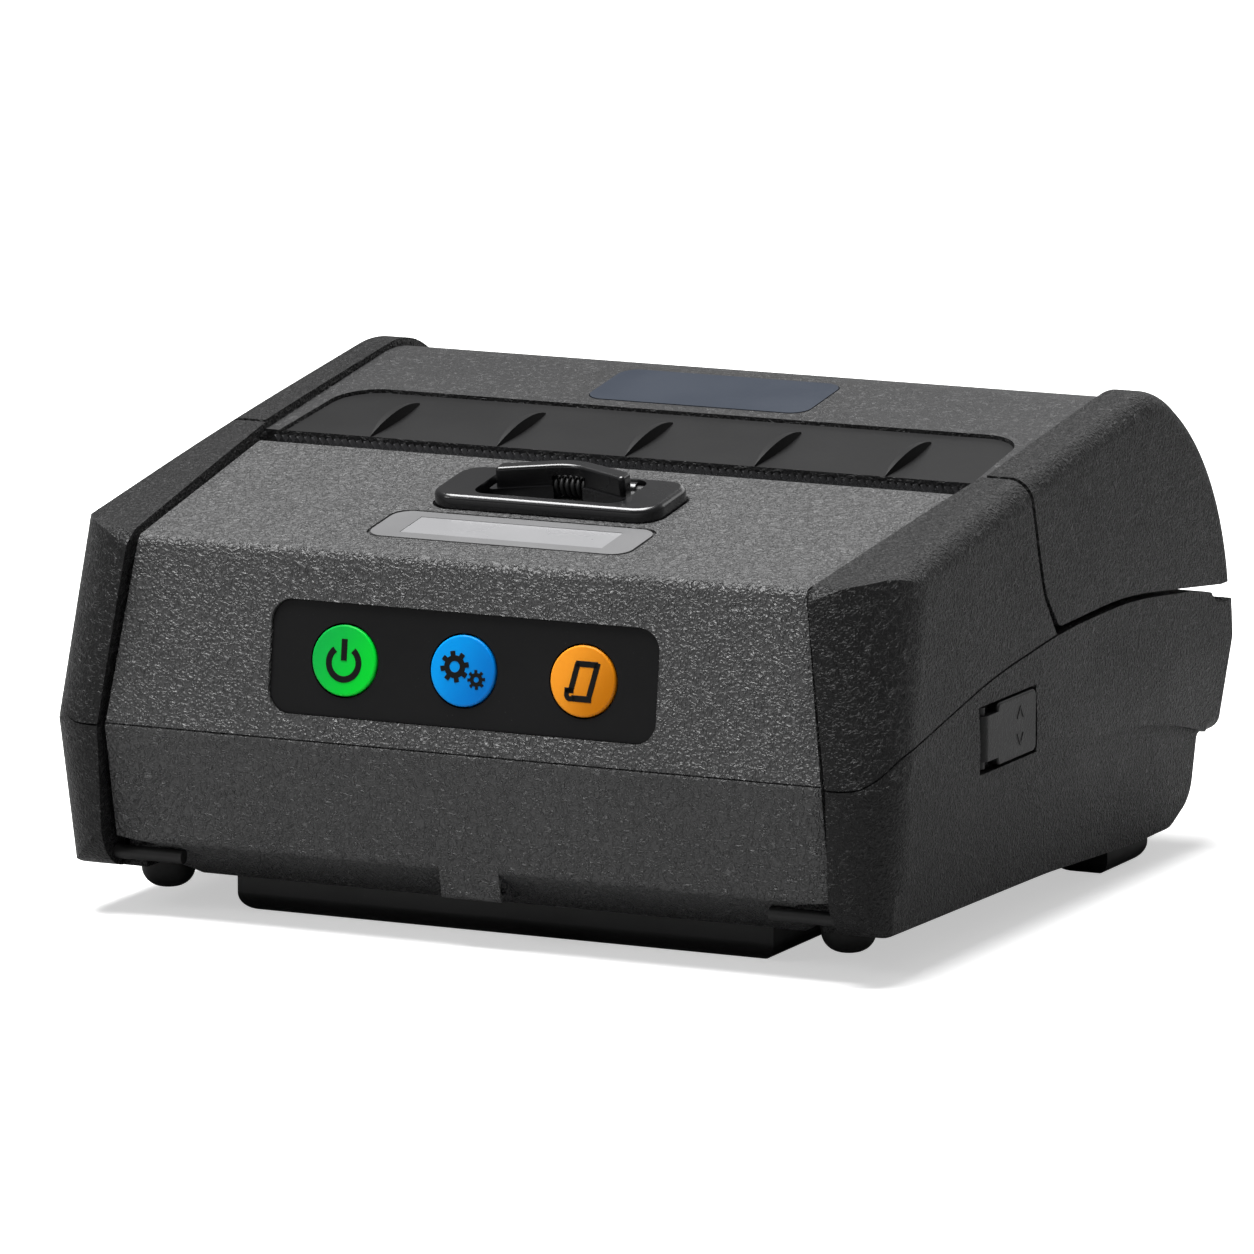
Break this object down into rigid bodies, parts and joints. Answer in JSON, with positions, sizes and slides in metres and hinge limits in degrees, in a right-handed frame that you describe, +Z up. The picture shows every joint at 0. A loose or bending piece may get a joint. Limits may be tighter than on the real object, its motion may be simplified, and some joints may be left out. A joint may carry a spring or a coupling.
{
  "type": "portable label printer",
  "caption": "Wedge-shaped battery label printer with three keys, a small display, a release latch, a tear bar and a rear-hinged media lid.",
  "frame": {"origin": "centre of the footprint, on the surface that it stands on", "axes": "+X to the printer's right as seen by its user, -Y towards its front with the keys, +Z up"},
  "size_m": [0.142, 0.136, 0.0756],
  "materials": {
    "case_plastic": "fine pebbled grain",
    "guard_rubber": "soft fine grain",
    "black_gloss": "polished",
    "black_plastic": "smooth satin",
    "key_green": "smooth satin",
    "key_blue": "smooth satin",
    "key_orange": "smooth satin",
    "film_grey": "printed film",
    "window_grey": "clear coated",
    "display_glass": "polished",
    "plate_navy": "satin",
    "steel": "brushed",
    "spring_steel": "bright",
    "aluminium": "matt",
    "platen_rubber": "ground smooth",
    "nylon_white": "moulded",
    "board_green": "solder mask",
    "brass": "bright",
    "foot_rubber": "smooth"
  },
  "bodies": {
    "case": {"base_shell": "case_plastic", "lower_guard_left": "guard_rubber", "lower_guard_right": "guard_rubber", "upper_shell": "case_plastic", "upper_guard_left": "guard_rubber", "upper_guard_right": "guard_rubber", "key_bezel": "black_plastic", "key_board": "board_green", "display_film": "film_grey", "display_window": "window_grey", "display_module": "display_glass", "latch_bezel": "black_gloss", "latch_pin": "spring_steel", "latch_spring": "spring_steel", "chassis_left": "steel", "chassis_right": "steel", "print_head": "aluminium", "head_bracket": "steel", "head_springs": "spring_steel", "stepper_motor": "steel", "idler_pin": "spring_steel", "media_cradle": "black_plastic", "media_sensor": "black_plastic", "main_board": "board_green", "battery_connector": "black_plastic", "port_board": "board_green", "data_port": "steel", "power_jack": "black_plastic", "port_cover_pin": "black_plastic", "lid_hinge_pins": "spring_steel", "strap_bars": "black_plastic", "front_feet": "foot_rubber", "rear_feet": "foot_rubber", "case_screws": "spring_steel"},
    "lid": {"lid_shell": "case_plastic", "lid_guard_left": "guard_rubber", "lid_guard_right": "guard_rubber", "exit_guide": "black_plastic", "label_plate": "plate_navy", "tear_bar": "steel", "platen_holder": "steel", "platen_bush_left": "nylon_white", "platen_bush_right": "nylon_white"},
    "platen": {"platen_shaft": "spring_steel", "platen_rubber": "platen_rubber", "platen_gear": "nylon_white"},
    "idler": {"idler_gear": "nylon_white"},
    "motor_rotor": {"motor_shaft": "spring_steel", "motor_pinion": "brass"},
    "latch": {"latch_lever": "black_gloss", "release_bar": "black_plastic"},
    "key_power": {"power_button": "key_green"},
    "key_menu": {"menu_button": "key_blue"},
    "key_feed": {"feed_button": "key_orange"},
    "guide_right": {"media_guide_right": "black_plastic"},
    "guide_left": {"media_guide_left": "black_plastic"},
    "pinion": {"guide_pinion": "nylon_white"},
    "battery": {"battery_pack": "black_plastic", "battery_contacts": "brass"},
    "port_door": {"port_cover": "guard_rubber"}
  },
  "joints": [
    {"name": "lid_hinge", "type": "hinge", "parent": "case", "child": "lid", "pos_m": [0, 0.0624, 0.0444], "axis": [-1, 0, 0], "range_deg": [0, 95]},
    {"name": "platen_spin", "type": "hinge", "parent": "lid", "child": "platen", "pos_m": [0, -0.005, 0.0565], "axis": [1, 0, 0], "continuous": true},
    {"name": "idler_spin", "type": "hinge", "parent": "case", "child": "idler", "pos_m": [-0.061, -0.00783, 0.04075], "axis": [1, 0, 0], "continuous": true},
    {"name": "motor_spin", "type": "hinge", "parent": "case", "child": "motor_rotor", "pos_m": [-0.061, -0.02077, 0.03444], "axis": [1, 0, 0], "continuous": true},
    {"name": "latch_lift", "type": "hinge", "parent": "case", "child": "latch", "pos_m": [0, -0.02859, 0.06591], "axis": [-1, 0, 0], "range_deg": [0, 18], "stiffness_Nm_per_rad": 0.04, "springref_deg": -17.19},
    {"name": "power_press", "type": "slide", "parent": "case", "child": "key_power", "axis": [0, 0.9925, -0.122], "range_m": [0, 0.0008], "stiffness_N_per_m": 1200},
    {"name": "menu_press", "type": "slide", "parent": "case", "child": "key_menu", "axis": [0, 0.9925, -0.122], "range_m": [0, 0.0008], "stiffness_N_per_m": 1200},
    {"name": "feed_press", "type": "slide", "parent": "case", "child": "key_feed", "axis": [0, 0.9925, -0.122], "range_m": [0, 0.0008], "stiffness_N_per_m": 1200},
    {"name": "guide_right_slide", "type": "slide", "parent": "case", "child": "guide_right", "axis": [-1, 0, 0], "range_m": [0, 0.028]},
    {"name": "guide_left_slide", "type": "slide", "parent": "case", "child": "guide_left", "axis": [1, 0, 0], "range_m": [0, 0.028]},
    {"name": "pinion_spin", "type": "hinge", "parent": "case", "child": "pinion", "pos_m": [0, 0.026, 0.0139], "axis": [0, 0, 1], "range_deg": [0, 268]},
    {"name": "battery_slide", "type": "slide", "parent": "case", "child": "battery", "axis": [0, 0, -1], "range_m": [0, 0.025]},
    {"name": "port_hinge", "type": "hinge", "parent": "case", "child": "port_door", "pos_m": [0.0696, -0.03065, 0.0328], "axis": [0, 0, -1], "range_deg": [0, 100]}
  ],
  "couplings": [
    {"joint": "idler_spin", "follows": "platen_spin", "ratio": -0.66667},
    {"joint": "motor_spin", "follows": "platen_spin", "ratio": 1.3333},
    {"joint": "guide_left_slide", "follows": "guide_right_slide", "ratio": 1},
    {"joint": "pinion_spin", "follows": "guide_right_slide", "rad_per_m": 166.67}
  ]
}
